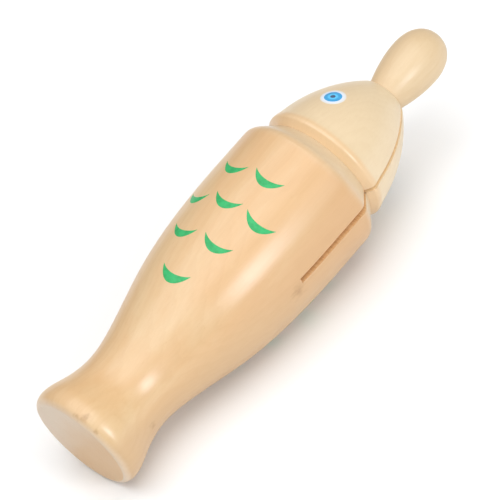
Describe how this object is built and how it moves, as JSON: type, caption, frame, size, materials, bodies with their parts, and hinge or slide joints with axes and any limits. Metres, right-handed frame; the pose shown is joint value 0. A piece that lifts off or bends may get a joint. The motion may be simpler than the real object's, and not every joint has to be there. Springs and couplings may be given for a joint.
{
  "type": "guiro",
  "caption": "Fish-shaped wooden guiro: a turned hollow body with a ridged back and a belly sound slot, a glued-on head, and a scraping stick that stores in the mouth and pulls out.",
  "frame": {"origin": "centre of the flat end face of the tail, on the turning axis", "axes": "+X along the turning axis from the tail to the head, +Z out through the eye on one flank, -Y out through the belly slot, +Y out through the ridged back"},
  "size_m": [0.2106, 0.06, 0.06],
  "materials": {
    "body_wood": "clear semi-gloss lacquer",
    "head_wood": "clear semi-gloss lacquer",
    "dowel_wood": "plain sanded",
    "knob_wood": "clear semi-gloss lacquer"
  },
  "bodies": {
    "fish": {"body": "body_wood", "head": "head_wood"},
    "stick": {"stick_stem": "dowel_wood", "stick_knob": "knob_wood"}
  },
  "joints": [
    {"name": "stick_slide", "type": "slide", "parent": "fish", "child": "stick", "axis": [1, 0, 0], "range_m": [0, 0.115]}
  ]
}
